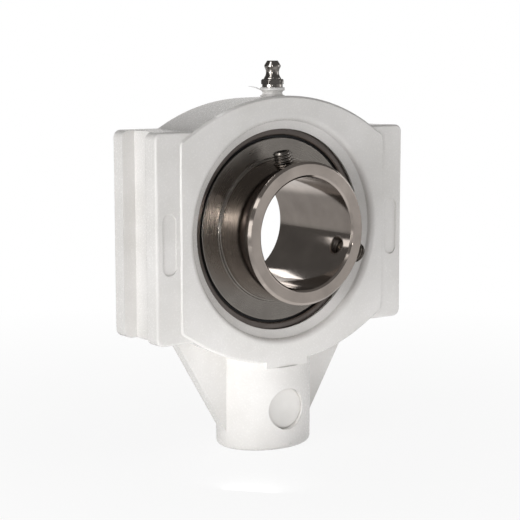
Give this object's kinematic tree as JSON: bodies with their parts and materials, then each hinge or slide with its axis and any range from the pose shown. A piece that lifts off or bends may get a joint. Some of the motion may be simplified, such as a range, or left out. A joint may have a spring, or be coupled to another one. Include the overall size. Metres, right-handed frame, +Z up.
{
  "type": "take-up bearing unit",
  "caption": "Moulded plastic take-up housing with guide grooves and a screw nose, carrying a self-aligning set-screw ball bearing with seals and a grease nipple.",
  "frame": {"origin": "centre of the bearing, on the shaft's axis", "axes": "+Y along the shaft to the rear (the set screws are in front, at -Y), +Z up to the grease nipple, away from the nose; +X to the right seen from the front"},
  "size_m": [0.1228, 0.0492, 0.1578],
  "materials": {
    "housing_plastic": "moulded white thermoplastic, satin",
    "nut_plastic": "moulded white acetal, satin",
    "ring_steel": "ground stainless steel",
    "ball_steel": "lapped stainless steel",
    "cage_polyamide": "natural polyamide",
    "seal_rubber": "black nitrile rubber",
    "flinger_steel": "pressed stainless sheet",
    "screw_steel": "dark stainless, threaded",
    "nipple_steel": "turned stainless steel",
    "spring_steel": "drawn spring wire"
  },
  "bodies": {
    "housing": {"housing": "housing_plastic", "grease_nipple": "nipple_steel", "nipple_spring": "spring_steel"},
    "cross_nut": {"cross_nut": "nut_plastic"},
    "nipple_ball": {"nipple_ball": "ball_steel"},
    "outer_ring": {"outer_ring": "ring_steel", "seal_front": "seal_rubber", "seal_rear": "seal_rubber"},
    "inner_ring": {"inner_ring": "ring_steel", "flinger_front": "flinger_steel", "flinger_rear": "flinger_steel"},
    "cage": {"cage": "cage_polyamide"},
    "set_screw_1": {"set_screw_1": "screw_steel"},
    "set_screw_2": {"set_screw_2": "screw_steel"},
    "ball_01": {"ball_01": "ball_steel"},
    "ball_02": {"ball_02": "ball_steel"},
    "ball_03": {"ball_03": "ball_steel"},
    "ball_04": {"ball_04": "ball_steel"},
    "ball_05": {"ball_05": "ball_steel"},
    "ball_06": {"ball_06": "ball_steel"},
    "ball_07": {"ball_07": "ball_steel"},
    "ball_08": {"ball_08": "ball_steel"},
    "ball_09": {"ball_09": "ball_steel"},
    "ball_10": {"ball_10": "ball_steel"}
  },
  "joints": [
    {"name": "outer_ring_tilt", "type": "hinge", "parent": "housing", "child": "outer_ring", "pos_m": [0, 0, 0], "axis": [1, 0, 0], "range_deg": [-2, 2]},
    {"name": "inner_ring_spin", "type": "hinge", "parent": "outer_ring", "child": "inner_ring", "pos_m": [0, 0, 0], "axis": [0, 1, 0], "continuous": true},
    {"name": "cage_orbit", "type": "hinge", "parent": "outer_ring", "child": "cage", "pos_m": [0, 0, 0], "axis": [0, 1, 0], "continuous": true},
    {"name": "ball_01_spin", "type": "hinge", "parent": "cage", "child": "ball_01", "pos_m": [0, 0, 0.0325], "axis": [0, 1, 0], "continuous": true},
    {"name": "ball_02_spin", "type": "hinge", "parent": "cage", "child": "ball_02", "pos_m": [0.0191, 0, 0.02629], "axis": [0, 1, 0], "continuous": true},
    {"name": "ball_03_spin", "type": "hinge", "parent": "cage", "child": "ball_03", "pos_m": [0.03091, 0, 0.01004], "axis": [0, 1, 0], "continuous": true},
    {"name": "ball_04_spin", "type": "hinge", "parent": "cage", "child": "ball_04", "pos_m": [0.03091, 0, -0.01004], "axis": [0, 1, 0], "continuous": true},
    {"name": "ball_05_spin", "type": "hinge", "parent": "cage", "child": "ball_05", "pos_m": [0.0191, 0, -0.02629], "axis": [0, 1, 0], "continuous": true},
    {"name": "ball_06_spin", "type": "hinge", "parent": "cage", "child": "ball_06", "pos_m": [0, 0, -0.0325], "axis": [0, 1, 0], "continuous": true},
    {"name": "ball_07_spin", "type": "hinge", "parent": "cage", "child": "ball_07", "pos_m": [-0.0191, 0, -0.02629], "axis": [0, 1, 0], "continuous": true},
    {"name": "ball_08_spin", "type": "hinge", "parent": "cage", "child": "ball_08", "pos_m": [-0.03091, 0, -0.01004], "axis": [0, 1, 0], "continuous": true},
    {"name": "ball_09_spin", "type": "hinge", "parent": "cage", "child": "ball_09", "pos_m": [-0.03091, 0, 0.01004], "axis": [0, 1, 0], "continuous": true},
    {"name": "ball_10_spin", "type": "hinge", "parent": "cage", "child": "ball_10", "pos_m": [-0.0191, 0, 0.02629], "axis": [0, 1, 0], "continuous": true},
    {"name": "set_screw_1_travel", "type": "slide", "parent": "inner_ring", "child": "set_screw_1", "axis": [0.2011, 0, -0.9796], "range_m": [-0.00375, 0.00125]},
    {"name": "set_screw_2_travel", "type": "slide", "parent": "inner_ring", "child": "set_screw_2", "axis": [-0.9489, 0, 0.3156], "range_m": [-0.00125, 0.00375]},
    {"name": "nipple_ball_press", "type": "slide", "parent": "housing", "child": "nipple_ball", "axis": [0, 0, 1], "range_m": [-0.0015, 0], "stiffness_N_per_m": 300, "springref_m": 0.003, "deforming": ["nipple_spring"]},
    {"name": "cross_nut_swivel", "type": "hinge", "parent": "housing", "child": "cross_nut", "pos_m": [0, 0, -0.0733], "axis": [0, 1, 0], "range_deg": [-8, 8]}
  ],
  "couplings": [
    {"joint": "cage_orbit", "follows": "inner_ring_spin", "ratio": 0.40231},
    {"joint": "ball_01_spin", "follows": "inner_ring_spin", "ratio": -2.4614},
    {"joint": "ball_02_spin", "follows": "inner_ring_spin", "ratio": -2.4614},
    {"joint": "ball_03_spin", "follows": "inner_ring_spin", "ratio": -2.4614},
    {"joint": "ball_04_spin", "follows": "inner_ring_spin", "ratio": -2.4614},
    {"joint": "ball_05_spin", "follows": "inner_ring_spin", "ratio": -2.4614},
    {"joint": "ball_06_spin", "follows": "inner_ring_spin", "ratio": -2.4614},
    {"joint": "ball_07_spin", "follows": "inner_ring_spin", "ratio": -2.4614},
    {"joint": "ball_08_spin", "follows": "inner_ring_spin", "ratio": -2.4614},
    {"joint": "ball_09_spin", "follows": "inner_ring_spin", "ratio": -2.4614},
    {"joint": "ball_10_spin", "follows": "inner_ring_spin", "ratio": -2.4614}
  ]
}
